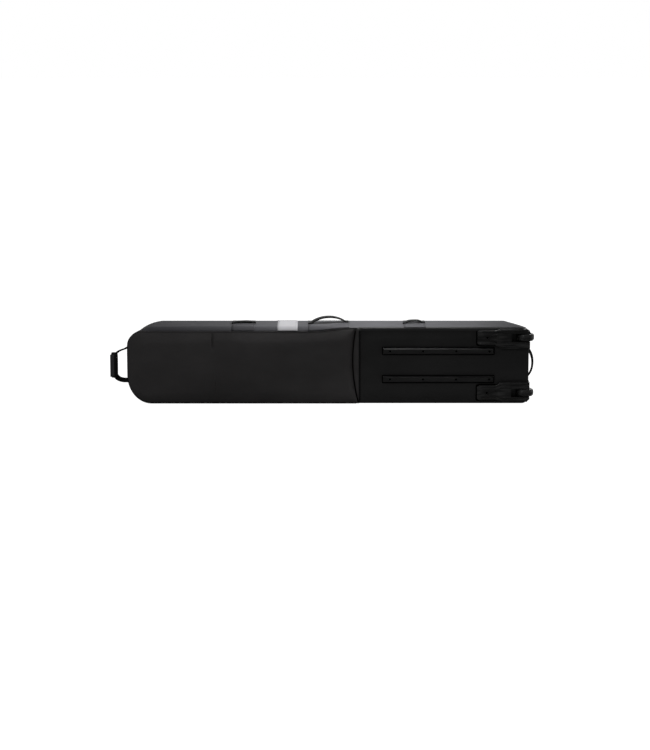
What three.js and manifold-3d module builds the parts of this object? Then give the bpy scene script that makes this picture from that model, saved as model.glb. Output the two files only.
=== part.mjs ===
// A wheeled snowboard bag, in millimetres, standing on one long side.
// +X runs from the nose end to the wheel end, +Z from the resting side up to the handle side, and -Y is the
// underside, which carries the wheels and skid rails. The lid is on the +Y side, hinged along its upper edge.
// The origin is on the resting side, at the middle of the shell's length and depth.
import * as THREE from "three";
import { mergeVertices } from "three/addons/utils/BufferGeometryUtils.js";
import Module from "manifold-3d";

const wasm = await Module();
wasm.setup();

// ---------------------------------------------------------------- driving dimensions
const LENGTH = 1650; // shell, nose tip to wheel end
const WIDTH = 316; // shell, resting side to handle side
const DEPTH = 170; // shell, underside to lid
const WALL = 10; // padded wall thickness
const GAP = 0.5; // between neighbouring pieces
const END_X = LENGTH / 2;
const UNDER_Y = -DEPTH / 2;
const LID_Y = DEPTH / 2;
const INSIDE_Y = [UNDER_Y + WALL, LID_Y - WALL];

// Quarter ellipses at the nose end. The lower one is smaller; the upper one rises less near the underside.
const NOSE = {
  length: 105,
  rise: 140,
  lowLength: 0.82,
  lowRise: 0.77,
  front: 0.52,
  frontDepth: 65,
  steps: 8,
};
const NOSE_SLOPE = { start: -10, length: 70 }; // how the nose draws back towards the lid
const END_SLOPE = { start: -55, lean: 80, curl: 15 }; // how the wheel end leans towards the lid
const EDGE_EASE = 5; // easing of the long edges
const CORNER = { radius: 24, steps: 4 }; // wheel end corners
const LEVELS = [-55, -10, 20, 45, 65]; // depths at which the shell's outline is drawn

const SEAM_X = 130; // seam between the plain underside and the hard-wearing tray
const SIDE_WALLS_X = [-600, 722]; // where the long side walls start and end
const LID_BORDER = { nose: 26, wheel: 22, bottom: 26, top: 13 };
const LID_CORNER = { length: 92, rise: 120, radius: 18 };

const RAIL_Z = [219, 102];
const WHEEL_Z = [275.5, 45.5];
const WHEEL = { x: 811, y: -70, radius: 35, width: 28, core: 22.5, seat: 11.3, bore: 6 };
const BEARING = { radius: 11, bore: 4.3, width: 7, offset: 8.5 };
const AXLE = { radius: 4, head: 6.5, headLength: 3, clearance: 8.5 };
const WELL = { radius: 38, half: 17, cheek: 4, start: 748, mouth: 753, mouthDepth: -60, back: -28 };
const HOUSING = {
  tongue: 614,
  flare: 700,
  tongueHeight: 7,
  height: 12,
  wrap: 3.5,
  wrapTop: -44,
  screwX: 654,
};
// Distances along Z from the wheel's middle to the housing's sides.
const HOUSING_HALF = { tip: 24, tongue: 31, outer: 36.5, corner: 25, inner: 44.5 };

const RAIL = { x: 454.5, length: 454, base: 28, crown: 16, height: 12 };
const RAIL_SCREWS = { x: 460, step: 135.3 };
const SCREW = { head: 4.6, headLength: 3, shank: 2, hole: 2.4, sink: 5.2 };
const BOARD = { x: [146, 742], z: [28, 298], thickness: 3 };
const BACKING = { width: 20, thickness: 3, length: 440 };

const ZIP = { lidTape: 12, shellTape: 16, thickness: 1.6 };
const SLIDER = { start: 2, length: 13, y: [88.1, 91.5], z: [13.5, 25.2], pinY: 94.6, pin: 1.1 };
const LUG = { offset: 4.2, half: 2, thickness: 1.4, reach: 1.6 }; // two on each slider, holding its pin
const PULL = { length: 36, grip: 18, eye: 2.6, hole: 1.6 };
const PULL_TAB = { half: 2.8, thickness: 1.6 };
const PULL_GRIP = { half: 4.5, thickness: 2.6 };

const HANDLE_Y = 13; // line of the three handles on the handle side
const PINCH = 0.28; // width left at the sewn ends of a swinging handle
const CARRY = { x: 5.5, span: 163, foot: 3.5, rise: 25, width: 30, thickness: 3, swingClear: 14 };
const CARRY_GRIP = { half: 44, thickness: 9, overhang: 6 };
const PATCH = { y: [-72, 70], thickness: 1.2 };
const SIDE_HANDLES = [
  { name: "nose_side_handle", x: -341.5, span: 97, rise: 3, patch: [-390, -295] },
  { name: "wheel_side_handle", x: 356.5, span: 91, rise: 9, patch: [313, 403] },
];
const SIDE_HANDLE = { foot: 4.5, width: 25, thickness: 2.6 };
const NOSE_HANDLE = { y: -40, width: 28, thickness: 4, swingClear: 17 };
const NOSE_GRIP = { reach: [36, 66], z: [101, 197], ease: 9, overhang: 3 };
const END_HANDLE = { x: 815, y: -25, z: 156.5, half: 59.5, rise: 29, width: 22, thickness: 2.6 };
const END_SWING_CLEAR = 12;
const TIES = [["nose", -300], ["wheel", 300]]; // where the two tie-downs are along X
const TIE = { half: 12.5, y: [50, 51.6], ends: [142, 170], slack: 0.4, slotHalf: 13 };
const SOCKET = { half: 17, y: [44.5, 54], z: [132, 158] };
const PRONG_ROOM = { half: 11, y: [46, 49.4], z: [147, 160] };
const TONGUE = { half: 17, y: [46.4, 54], z: [158.6, 180] };
const PRONG = { half: 10.5, y: [46.4, 49], z: [148, 160] };

// ---------------------------------------------------------------- finishes
const finish = (color, roughness, metalness = 0) =>
  new THREE.MeshStandardMaterial({ color, roughness, metalness });
const SHELL_FABRIC = finish(0x26262a, 0.75);
const SIDE_FABRIC = finish(0x3c3c42, 0.7);
const TRAY_FABRIC = finish(0x1b1b1d, 0.55);
const LID_FABRIC = finish(0x242427, 0.75);
const WEBBING = finish(0x121213, 0.8);
const PLASTIC = finish(0x161617, 0.45);
const RAIL_PLASTIC = finish(0x1e1e20, 0.4);
const URETHANE = finish(0x1a1a1b, 0.5);
const HUB_PLASTIC = finish(0x8a8a8e, 0.5);
const STEEL = finish(0x9a9a9e, 0.3, 1);
const DARK_STEEL = finish(0x2c2c2e, 0.35, 1);
const ZIPPER = finish(0x111112, 0.6);
const LABEL_GREY = finish(0xc4c2c7, 0.65);
const BOARD_PLASTIC = finish(0x303033, 0.6);

// ---------------------------------------------------------------- solids
// A three.js geometry as a manifold-3d solid, turned to face out.
function solid(geometry) {
  const loose = geometry.index ? geometry.toNonIndexed() : geometry.clone();
  loose.deleteAttribute("normal");
  loose.deleteAttribute("uv");
  const merged = mergeVertices(loose, 1e-3);
  const triVerts = new Uint32Array(merged.index.array);
  const vertProperties = merged.attributes.position.array;
  const made = new wasm.Manifold(new wasm.Mesh({ numProp: 3, vertProperties, triVerts }));
  if (made.volume() > 0) return made;
  for (let i = 0; i < triVerts.length; i += 3) {
    [triVerts[i + 1], triVerts[i + 2]] = [triVerts[i + 2], triVerts[i + 1]];
  }
  return new wasm.Manifold(new wasm.Mesh({ numProp: 3, vertProperties, triVerts }));
}

function geometryOf(made) {
  const { numProp, numVert, vertProperties, triVerts } = made.getMesh();
  const positions = new Float32Array(numVert * 3);
  for (let i = 0; i < numVert; i++) {
    positions.set(vertProperties.subarray(i * numProp, i * numProp + 3), i * 3);
  }
  const geometry = new THREE.BufferGeometry();
  geometry.setAttribute("position", new THREE.BufferAttribute(positions, 3));
  geometry.setIndex(new THREE.BufferAttribute(triVerts, 1));
  geometry.computeVertexNormals();
  return geometry;
}

const bag = new THREE.Group();
bag.name = "snowboard_bag";
function add(name, made, material) {
  const mesh = new THREE.Mesh(geometryOf(made), material);
  mesh.name = name;
  bag.add(mesh);
}

const sorted = (a, b) => [Math.min(a, b), Math.max(a, b)];
function box([x0, x1], [y0, y1], [z0, z1]) {
  const geometry = new THREE.BoxGeometry(x1 - x0, y1 - y0, z1 - z0);
  return solid(geometry.translate((x0 + x1) / 2, (y0 + y1) / 2, (z0 + z1) / 2));
}
// Round bars along Y and Z, from one coordinate to another.
function barY(radius, [y0, y1], x, z, steps = 16) {
  const geometry = new THREE.CylinderGeometry(radius, radius, y1 - y0, steps);
  return solid(geometry.translate(x, (y0 + y1) / 2, z));
}
function barZ(radius, [z0, z1], x, y, steps = 24) {
  const geometry = new THREE.CylinderGeometry(radius, radius, z1 - z0, steps).rotateX(Math.PI / 2);
  return solid(geometry.translate(x, y, (z0 + z1) / 2));
}

// A closed surface through rings of (x, z) points, each at its own y.
function loft(levels) {
  if (THREE.ShapeUtils.isClockWise(levels[0].points)) levels.forEach((level) => level.points.reverse());
  const count = levels[0].points.length;
  const last = (levels.length - 1) * count;
  const positions = levels.flatMap(({ y, points }) => points.flatMap((p) => [p.x, y, p.y]));
  const index = [];
  for (let k = 0; k < last; k += count) {
    for (let i = 0; i < count; i++) {
      const a = k + i;
      const b = k + ((i + 1) % count);
      index.push(a, b + count, b, a, a + count, b + count);
    }
  }
  for (const [a, b, c] of THREE.ShapeUtils.triangulateShape(levels[0].points, [])) index.push(a, b, c);
  for (const [a, b, c] of THREE.ShapeUtils.triangulateShape(levels.at(-1).points, [])) {
    index.push(last + a, last + c, last + b);
  }
  const geometry = new THREE.BufferGeometry();
  geometry.setAttribute("position", new THREE.Float32BufferAttribute(positions, 3));
  geometry.setIndex(index);
  return solid(geometry);
}
const prismY = (points, [y0, y1]) =>
  loft([{ y: y0, points: [...points] }, { y: y1, points: [...points] }]);

// ---------------------------------------------------------------- the bag's outline
// Quarter-ellipse corners at the nose end x0, quarter circles at the wheel end x1.
function outline([x0, x1], [z0, z1], noseLength, noseRise, radius, high = 1) {
  const arc = (x, z, rx, rz, start, steps) =>
    Array.from({ length: steps + 1 }, (_, i) => {
      const angle = start + ((Math.PI / 2) * i) / steps;
      return new THREE.Vector2(x + rx * Math.cos(angle), z + rz * Math.sin(angle));
    });
  const highRise = high * noseRise;
  const [lowLength, lowRise] = [NOSE.lowLength * noseLength, NOSE.lowRise * noseRise];
  return [
    ...arc(x0 + noseLength, z1 - highRise, noseLength, highRise, Math.PI / 2, NOSE.steps),
    ...arc(x0 + lowLength, z0 + lowRise, lowLength, lowRise, Math.PI, NOSE.steps),
    ...arc(x1 - radius, z0 + radius, radius, radius, -Math.PI / 2, CORNER.steps),
    ...arc(x1 - radius, z1 - radius, radius, radius, 0, CORNER.steps),
  ];
}
function noseTip(y) {
  const t = Math.max(0, (y - NOSE_SLOPE.start) / (LID_Y - NOSE_SLOPE.start));
  return -END_X + NOSE_SLOPE.length * (1 - Math.sqrt(1 - t * t));
}
function wheelEnd(y) {
  const t = Math.max(0, (y - END_SLOPE.start) / (LID_Y - END_SLOPE.start));
  return END_X - END_SLOPE.lean * t - END_SLOPE.curl * t * t;
}
function section(y, inset) {
  const x = [noseTip(y) + inset, wheelEnd(y) - inset];
  const z = [inset, WIDTH - inset];
  const high = NOSE.front + (1 - NOSE.front) * Math.min(1, (y - UNDER_Y) / NOSE.frontDepth);
  const radius = CORNER.radius - inset / 2;
  return { y, points: outline(x, z, NOSE.length - inset / 2, NOSE.rise - inset, radius, high) };
}
const outer = loft([
  section(UNDER_Y, EDGE_EASE),
  section(UNDER_Y + EDGE_EASE, 0),
  ...LEVELS.map((y) => section(y, 0)),
  section(LID_Y - EDGE_EASE, 0),
  section(LID_Y, EDGE_EASE),
]);
const cavity = loft([
  section(INSIDE_Y[0], WALL),
  ...LEVELS.map((y) => section(y, WALL)),
  section(INSIDE_Y[1], WALL),
]);

// The lid's outline, grown outwards by a margin.
const LID_X = [noseTip(LID_Y) + LID_BORDER.nose, wheelEnd(LID_Y) - LID_BORDER.wheel];
const LID_Z = [LID_BORDER.bottom, WIDTH - LID_BORDER.top];
const lidOutline = (margin) =>
  outline(
    [LID_X[0] - margin, LID_X[1] + margin],
    [LID_Z[0] - margin, LID_Z[1] + margin],
    LID_CORNER.length + margin,
    LID_CORNER.rise + margin,
    LID_CORNER.radius + margin,
  );

// ---------------------------------------------------------------- openings for wheels and screws
const FAR = 1000;
const LOWEST_Y = UNDER_Y - 30;
const RAIL_TOP = UNDER_Y - 0.3;
const WELL_HALF = WELL.half + WELL.cheek;
const railScrewX = [-1.5, -0.5, 0.5, 1.5].map((k) => RAIL_SCREWS.x + k * RAIL_SCREWS.step);
const screwPlaces = [
  ...RAIL_Z.flatMap((z) => railScrewX.map((x) => [x, z])),
  ...WHEEL_Z.map((z) => [HOUSING.screwX, z]),
];
function withoutWells(made) {
  return WHEEL_Z.reduce((left, z) => {
    const half = WELL_HALF + GAP;
    const well = box([WELL.start - GAP, END_X + 30], [LOWEST_Y, WELL.back + GAP], [z - half, z + half]);
    const headRoom = half + AXLE.headLength + 2;
    return left.subtract(well).subtract(barZ(AXLE.clearance, [z - headRoom, z + headRoom], WHEEL.x, WHEEL.y));
  }, made);
}
function withoutScrews(made) {
  return screwPlaces.reduce(
    (left, [x, z]) => left.subtract(barY(SCREW.hole, [LOWEST_Y, 0], x, z)),
    made,
  );
}

// ---------------------------------------------------------------- shell panels
const slab = outer.intersect(box([-FAR, FAR], [-FAR, INSIDE_Y[0] - GAP], [-FAR, FAR]));
const slabPart = (x) => slab.intersect(box(x, [-FAR, FAR], [-FAR, FAR]));
add("underside_panel", slabPart([-FAR, SEAM_X - GAP / 2]), SHELL_FABRIC);
add("underside_tray", withoutScrews(withoutWells(slabPart([SEAM_X + GAP / 2, FAR]))), TRAY_FABRIC);

const lidSpace = prismY(lidOutline(GAP), [INSIDE_Y[1] - WALL, FAR]);
const shell = outer.subtract(cavity).intersect(box([-FAR, FAR], [INSIDE_Y[0], FAR], [-FAR, FAR]));
const walls = withoutWells(shell.subtract(lidSpace));
const wallPart = (x, z) => walls.intersect(box(x, [-FAR, FAR], z));
const sideX = [SIDE_WALLS_X[0] + GAP / 2, SIDE_WALLS_X[1] - GAP / 2];
add("handle_side_wall", wallPart(sideX, [WIDTH / 2, FAR]), SIDE_FABRIC);
add("resting_side_wall", wallPart(sideX, [-FAR, WIDTH / 2]), SIDE_FABRIC);
add("nose_wall", wallPart([-FAR, SIDE_WALLS_X[0] - GAP / 2], [-FAR, FAR]), SIDE_FABRIC);
add("wheel_end_wall", wallPart([SIDE_WALLS_X[1] + GAP / 2, FAR], [-FAR, FAR]), SIDE_FABRIC);
add("lid_panel", prismY(lidOutline(0), [INSIDE_Y[1], LID_Y]), LID_FABRIC);

// ---------------------------------------------------------------- zipper
// Tapes follow the lid's edge on its three free sides, each between two margins.
function zipStrip([from, to]) {
  const y = [LID_Y + 0.3, LID_Y + 0.3 + ZIP.thickness];
  const ring = prismY(lidOutline(to), y).subtract(prismY(lidOutline(from), [y[0] - 1, y[1] + 1]));
  return ring.intersect(box([-FAR, FAR], [-FAR, FAR], [-FAR, LID_Z[1] - ZIP.lidTape - 2]));
}
add("zipper_tape_lid", zipStrip([-ZIP.lidTape, -GAP]), ZIPPER);
add("zipper_tape_shell", zipStrip([GAP, ZIP.shellTape]), ZIPPER);

// Two sliders closed nose to nose at the middle of the lower run, each with a pull hinged on a pin.
const sliderZ = (SLIDER.z[0] + SLIDER.z[1]) / 2;
for (const [name, way] of [["nose", -1], ["wheel", 1]]) {
  const middle = way * (SLIDER.start + SLIDER.length / 2);
  const reach = (from, to) => sorted(middle + way * from, middle + way * to);
  const across = (half) => [sliderZ - half, sliderZ + half];
  const lug = (side) => {
    const z = sliderZ + side * LUG.offset;
    return box(
      [middle - LUG.half, middle + LUG.half],
      [SLIDER.y[1] - 1, SLIDER.pinY + LUG.reach],
      [z - LUG.thickness / 2, z + LUG.thickness / 2],
    );
  };
  const leaf = (from, { half, thickness }) =>
    box(reach(from, PULL.length), [SLIDER.pinY - thickness / 2, SLIDER.pinY + thickness / 2], across(half));
  const body = box(reach(-SLIDER.length / 2, SLIDER.length / 2), SLIDER.y, SLIDER.z);
  const pin = barZ(SLIDER.pin, across(LUG.offset), middle, SLIDER.pinY, 12);
  add(`zipper_slider_${name}`, body.add(lug(1)).add(lug(-1)).add(pin), DARK_STEEL);
  const eye = barZ(PULL.eye, across(PULL_TAB.half), middle, SLIDER.pinY, 16);
  const hole = barZ(PULL.hole, across(PULL_GRIP.half + 1), middle, SLIDER.pinY, 16);
  const pull = eye.add(leaf(1, PULL_TAB)).add(leaf(PULL.grip, PULL_GRIP)).subtract(hole);
  add(`zipper_pull_${name}`, pull, PLASTIC);
}

// ---------------------------------------------------------------- stiffener and skid rails
const boardY = [INSIDE_Y[0] + GAP, INSIDE_Y[0] + GAP + BOARD.thickness];
const backingY = [boardY[1] + GAP, boardY[1] + GAP + BACKING.thickness];
add("stiffener_board", withoutScrews(box(BOARD.x, boardY, BOARD.z)), BOARD_PLASTIC);

function railBar(z) {
  const ring = (halfLength, halfWidth, y) => {
    const corners = [[1, 1], [-1, 1], [-1, -1], [1, -1]];
    const points = corners.map(([i, k]) => new THREE.Vector2(RAIL.x + i * halfLength, z + k * halfWidth));
    return { y, points };
  };
  const half = RAIL.length / 2;
  return loft([
    ring(half - 4, RAIL.crown / 2, RAIL_TOP - RAIL.height),
    ring(half - 1, RAIL.base / 2 - 2, RAIL_TOP - 3),
    ring(half, RAIL.base / 2, RAIL_TOP),
  ]);
}
function screw(x, z, headY) {
  const head = barY(SCREW.head, [headY, headY + SCREW.headLength], x, z);
  return head.add(barY(SCREW.shank, [headY + 1, backingY[1] - 0.3], x, z, 12));
}
const railSinkY = RAIL_TOP - RAIL.height + 3.5;
RAIL_Z.forEach((z, k) => {
  const side = ["upper", "lower"][k];
  const backingX = [RAIL_SCREWS.x - BACKING.length / 2, RAIL_SCREWS.x + BACKING.length / 2];
  const strip = box(backingX, backingY, [z - BACKING.width / 2, z + BACKING.width / 2]);
  add(`${side}_rail_backing`, withoutScrews(strip), BOARD_PLASTIC);
  const rail = railScrewX.reduce(
    (left, x) => left.subtract(barY(SCREW.sink, [LOWEST_Y, railSinkY + SCREW.headLength], x, z)),
    withoutScrews(railBar(z)),
  );
  add(`${side}_skid_rail`, rail, RAIL_PLASTIC);
  railScrewX.forEach((x, i) => add(`${side}_rail_screw_${i + 1}`, screw(x, z, railSinkY - 0.3), STEEL));
});

// ---------------------------------------------------------------- wheel housings and wheels
// A tongue that flares out to a block round the wheel and wraps the bag's end. The block is deeper on the
// side towards the bag's middle, which inward (1 or -1) points to.
function housing(z, inward) {
  const flat = (points, height) =>
    prismY(
      points.map(([x, offset]) => new THREE.Vector2(x, z + inward * offset)),
      [RAIL_TOP - height, RAIL_TOP],
    );
  const end = END_X + HOUSING.wrap;
  const tongue = flat(
    [
      [HOUSING.tongue, -HOUSING_HALF.tip],
      [HOUSING.tongue + 9, -HOUSING_HALF.tongue],
      [HOUSING.flare + 5, -HOUSING_HALF.tongue],
      [HOUSING.flare + 5, HOUSING_HALF.tongue],
      [HOUSING.tongue + 9, HOUSING_HALF.tongue],
      [HOUSING.tongue, HOUSING_HALF.tip],
    ],
    HOUSING.tongueHeight,
  );
  const plate = flat(
    [
      [HOUSING.flare - 6, -HOUSING_HALF.tongue],
      [HOUSING.flare + 6, -HOUSING_HALF.outer],
      [END_X - 8, -HOUSING_HALF.outer],
      [end, -HOUSING_HALF.corner],
      [end, HOUSING_HALF.inner],
      [HOUSING.flare + 6, HOUSING_HALF.inner],
      [HOUSING.flare - 6, HOUSING_HALF.tongue],
    ],
    HOUSING.height,
  );
  const wrap = box(
    [END_X + 0.3, end],
    [RAIL_TOP - 1, HOUSING.wrapTop],
    sorted(z - inward * HOUSING_HALF.corner, z + inward * HOUSING_HALF.inner),
  );
  const block = box([WELL.start, end], [RAIL_TOP - 1, WELL.back], [z - WELL_HALF, z + WELL_HALF]);
  const inside = [z - WELL.half, z + WELL.half];
  const round = barZ(WELL.radius, inside, WHEEL.x, WHEEL.y, 40);
  const space = round.add(box([WELL.mouth, END_X + 30], [LOWEST_Y, WELL.mouthDepth], inside));
  const axleHole = barZ(AXLE.radius + 0.3, [z - 30, z + 30], WHEEL.x, WHEEL.y);
  const sink = barY(SCREW.sink, [LOWEST_Y, RAIL_TOP - 4], HOUSING.screwX, z);
  const whole = tongue.add(plate).add(wrap).add(block);
  return withoutScrews(whole).subtract(sink).subtract(space).subtract(axleHole);
}

// A ring turned about the axle from a profile of (radius, height) points.
function turned(profile, z, steps) {
  const points = [...profile, profile[0]].map(([r, h]) => new THREE.Vector2(r, h));
  const geometry = new THREE.LatheGeometry(points, steps).rotateX(Math.PI / 2);
  return solid(geometry.translate(WHEEL.x, WHEEL.y, z));
}
// The same profile on both sides of the wheel's middle.
const mirrored = (half) => [...half, ...half.map(([r, h]) => [r, -h]).reverse()];
function tyre(z) {
  const half = WHEEL.width / 2;
  const inner = WHEEL.core + GAP;
  const side = [
    [inner, -half + 1],
    [inner + 4, -half],
    [WHEEL.radius - 4.5, -half + 1.5],
    [WHEEL.radius - 1, -half + 6],
    [WHEEL.radius, -half / 3],
  ];
  return turned(mirrored(side), z, 40);
}
function hub(z) {
  const half = WHEEL.width / 2 - 1;
  const shoulder = BEARING.offset - BEARING.width / 2 - 0.4;
  const side = [
    [WHEEL.bore, -shoulder],
    [WHEEL.seat, -shoulder],
    [WHEEL.seat, -half],
    [WHEEL.seat + 3, -half],
    [WHEEL.seat + 4, -half + 5],
    [WHEEL.core - 2, -half + 5],
    [WHEEL.core - 1, -half],
    [WHEEL.core, -half],
  ];
  return turned(mirrored(side), z, 32);
}
function bearing(z) {
  const half = BEARING.width / 2;
  return turned(mirrored([[BEARING.bore, -half], [BEARING.radius, -half]]), z, 28);
}
function axle(z) {
  const reach = WELL_HALF + 0.3;
  const head = (side) => {
    const span = sorted(z + side * reach, z + side * (reach + AXLE.headLength));
    return barZ(AXLE.head, span, WHEEL.x, WHEEL.y);
  };
  const rod = barZ(AXLE.radius, [z - reach - 1, z + reach + 1], WHEEL.x, WHEEL.y);
  return rod.add(head(1)).add(head(-1));
}
WHEEL_Z.forEach((z, k) => {
  const side = ["upper", "lower"][k];
  add(`${side}_wheel_housing`, housing(z, k ? 1 : -1), PLASTIC);
  add(`${side}_housing_screw`, screw(HOUSING.screwX, z, RAIL_TOP - 7.3), STEEL);
  add(`${side}_tyre`, tyre(z), URETHANE);
  add(`${side}_wheel_hub`, hub(z), HUB_PLASTIC);
  add(`${side}_wheel_bearing_1`, bearing(z + BEARING.offset), STEEL);
  add(`${side}_wheel_bearing_2`, bearing(z - BEARING.offset), STEEL);
  add(`${side}_wheel_axle`, axle(z), STEEL);
});

// ---------------------------------------------------------------- handles
// A strap of constant thickness along a path of (x, z) points. Its width is along Y.
function strap(path, thickness, middleY, width) {
  const curve = new THREE.SplineCurve(path.map(([x, z]) => new THREE.Vector2(x, z)));
  const steps = 22;
  const sides = [[], []];
  for (let i = 0; i <= steps; i++) {
    const point = curve.getPoint(i / steps);
    const along = curve.getTangent(i / steps);
    const across = new THREE.Vector2(-along.y, along.x).multiplyScalar(thickness / 2);
    sides[0].push(point.clone().add(across));
    sides[1].push(point.clone().sub(across));
  }
  return prismY([...sides[0], ...sides[1].reverse()], [middleY - width / 2, middleY + width / 2]);
}
// A strap that is narrow at its sewn ends, so that it can swing there. Both regions are boxes.
function pinched(path, thickness, middleY, width, wideRegion, wholeRegion) {
  const wide = strap(path, thickness, middleY, width).intersect(wideRegion);
  return wide.add(strap(path, thickness, middleY, width * PINCH).intersect(wholeRegion));
}
const above = (z) => box([-FAR, FAR], [-FAR, FAR], [z, FAR]);
const beforeX = (x) => box([-FAR, x], [-FAR, FAR], [-FAR, FAR]);
const afterX = (x) => box([x, FAR], [-FAR, FAR], [-FAR, FAR]);
const arch = (x, span, foot, rise) =>
  [-1, -0.72, -0.36, 0, 0.36, 0.72, 1].map((t) => [x + (t * span) / 2, WIDTH + foot + rise * (1 - t * t)]);
const onHandleSide = (x, y, thickness) => box(x, y, [WIDTH + 0.3, WIDTH + 0.3 + thickness]);
const handlePatch = (x) => onHandleSide(x, PATCH.y, PATCH.thickness);

const carryPath = arch(CARRY.x, CARRY.span, CARRY.foot, CARRY.rise);
const carryStrap = pinched(
  carryPath,
  CARRY.thickness,
  HANDLE_Y,
  CARRY.width,
  above(WIDTH + CARRY.swingClear),
  above(WIDTH + CARRY.foot + 1),
);
add("carry_handle_strap", carryStrap, WEBBING);
const gripSpace = box([CARRY.x - CARRY_GRIP.half, CARRY.x + CARRY_GRIP.half], [-FAR, FAR], [0, FAR]);
const gripWidth = CARRY.width + CARRY_GRIP.overhang;
const carryGrip = strap(carryPath, CARRY_GRIP.thickness, HANDLE_Y, gripWidth).intersect(gripSpace);
const gripSlot = strap(carryPath, CARRY.thickness + 1, HANDLE_Y, CARRY.width + 1);
add("carry_handle_grip", carryGrip.subtract(gripSlot), WEBBING);
add("carry_handle_patch", handlePatch([-78, 93]), SIDE_FABRIC);
for (const { name, x, span, rise, patch } of SIDE_HANDLES) {
  const path = arch(x, span, SIDE_HANDLE.foot, rise);
  add(name, strap(path, SIDE_HANDLE.thickness, HANDLE_Y, SIDE_HANDLE.width), WEBBING);
  add(`${name}_patch`, handlePatch(patch), SIDE_FABRIC);
}
add("label_patch", onHandleSide([-205, -121], [-79, 76], 1), LABEL_GREY);

// The nose handle hangs a little, so its lower bend is tighter than its upper one.
const nosePath = [
  [5, 226],
  [26, 222],
  [43, 207],
  [48, 185],
  [48, 150],
  [48, 112],
  [42, 92],
  [24, 84],
  [5, 88],
].map(([out, z]) => [-END_X - out, z]);
const { y: noseY, width: noseWidth, thickness: noseThickness } = NOSE_HANDLE;
const noseStrap = pinched(
  nosePath,
  noseThickness,
  noseY,
  noseWidth,
  beforeX(-END_X - NOSE_HANDLE.swingClear),
  beforeX(-END_X - 5.5),
);
add("nose_handle_strap", noseStrap, WEBBING);
const gripX = [-END_X - NOSE_GRIP.reach[1], -END_X - NOSE_GRIP.reach[0]];
const gripEase = NOSE_GRIP.ease;
const gripOutline = [
  [gripX[0], NOSE_GRIP.z[0] + gripEase],
  [gripX[0] + gripEase, NOSE_GRIP.z[0]],
  [gripX[1] - gripEase, NOSE_GRIP.z[0]],
  [gripX[1], NOSE_GRIP.z[0] + gripEase],
  [gripX[1], NOSE_GRIP.z[1] - gripEase],
  [gripX[1] - gripEase, NOSE_GRIP.z[1]],
  [gripX[0] + gripEase, NOSE_GRIP.z[1]],
  [gripX[0], NOSE_GRIP.z[1] - gripEase],
].map(([x, z]) => new THREE.Vector2(x, z));
const gripDepth = noseWidth / 2 + NOSE_GRIP.overhang;
const noseGrip = prismY(gripOutline, [noseY - gripDepth, noseY + gripDepth]);
add("nose_handle_grip", noseGrip.subtract(strap(nosePath, noseThickness + 1, noseY, noseWidth + 1)), WEBBING);

const endPath = [-1, -0.7, -0.35, 0, 0.35, 0.7, 1].map((t) => [
  END_HANDLE.x + END_HANDLE.rise * (1 - t * t),
  END_HANDLE.z + t * END_HANDLE.half,
]);
const endClear = afterX(END_HANDLE.x + END_SWING_CLEAR);
const { y: endY, width: endWidth, thickness: endThickness } = END_HANDLE;
const endHandle = pinched(endPath, endThickness, endY, endWidth, endClear, afterX(END_HANDLE.x));
add("wheel_end_handle", endHandle, WEBBING);

// ---------------------------------------------------------------- tie-down straps inside
// Each strap runs from wall to wall over the board. The tongue's prong is under the webbing, so that the
// tongue slides out of the socket along the long strap.
for (const [name, x] of TIES) {
  const across = (half) => [x - half, x + half];
  const block = ({ half, y, z }) => box(across(half), y, z);
  const slot = (z) => box(across(TIE.slotHalf), [TIE.y[0] - TIE.slack, TIE.y[1] + TIE.slack], z);
  add(`${name}_short_strap`, box(across(TIE.half), TIE.y, [WALL + GAP, TIE.ends[0]]), WEBBING);
  add(`${name}_long_strap`, box(across(TIE.half), TIE.y, [TIE.ends[1], WIDTH - WALL - GAP]), WEBBING);
  const socket = block(SOCKET).subtract(block(PRONG_ROOM)).subtract(slot([130, 143]));
  add(`${name}_buckle_socket`, socket, PLASTIC);
  const tongue = block(TONGUE).add(block(PRONG)).subtract(slot([150, 190]));
  add(`${name}_buckle_tongue`, tongue, PLASTIC);
}

export default bag;
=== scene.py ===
"""Looks for a wheeled snowboard bag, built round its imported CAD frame. Lengths are in metres.

The bag stands on one long side: +X to the wheel end, +Z to the handle side, -Y out of the underside.
"""
import math

import bmesh
import bpy
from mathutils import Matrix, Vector, noise


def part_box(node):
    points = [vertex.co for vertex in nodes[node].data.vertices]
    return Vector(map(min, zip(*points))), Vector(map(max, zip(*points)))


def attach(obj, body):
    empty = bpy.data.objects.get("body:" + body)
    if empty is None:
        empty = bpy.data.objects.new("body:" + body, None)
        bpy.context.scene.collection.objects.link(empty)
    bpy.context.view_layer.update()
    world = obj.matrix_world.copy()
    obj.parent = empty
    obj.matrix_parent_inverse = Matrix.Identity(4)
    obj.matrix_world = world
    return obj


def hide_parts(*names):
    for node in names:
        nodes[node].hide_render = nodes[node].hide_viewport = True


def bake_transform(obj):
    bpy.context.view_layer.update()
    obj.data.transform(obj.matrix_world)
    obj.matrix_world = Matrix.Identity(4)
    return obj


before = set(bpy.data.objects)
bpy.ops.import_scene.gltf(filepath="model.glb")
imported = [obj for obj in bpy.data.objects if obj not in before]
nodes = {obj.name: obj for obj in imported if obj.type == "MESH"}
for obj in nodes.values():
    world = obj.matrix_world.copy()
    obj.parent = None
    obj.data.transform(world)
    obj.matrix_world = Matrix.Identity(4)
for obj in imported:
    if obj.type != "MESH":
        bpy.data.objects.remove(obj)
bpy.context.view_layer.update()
MM = 0.001
UP, BACK = Vector((0, 0, 1)), Vector((0, 1, 0))
FRONT = Vector((0, -1, 0))  # out of the underside
SETS = ("upper", "lower")  # wheels, housings and rails

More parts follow.
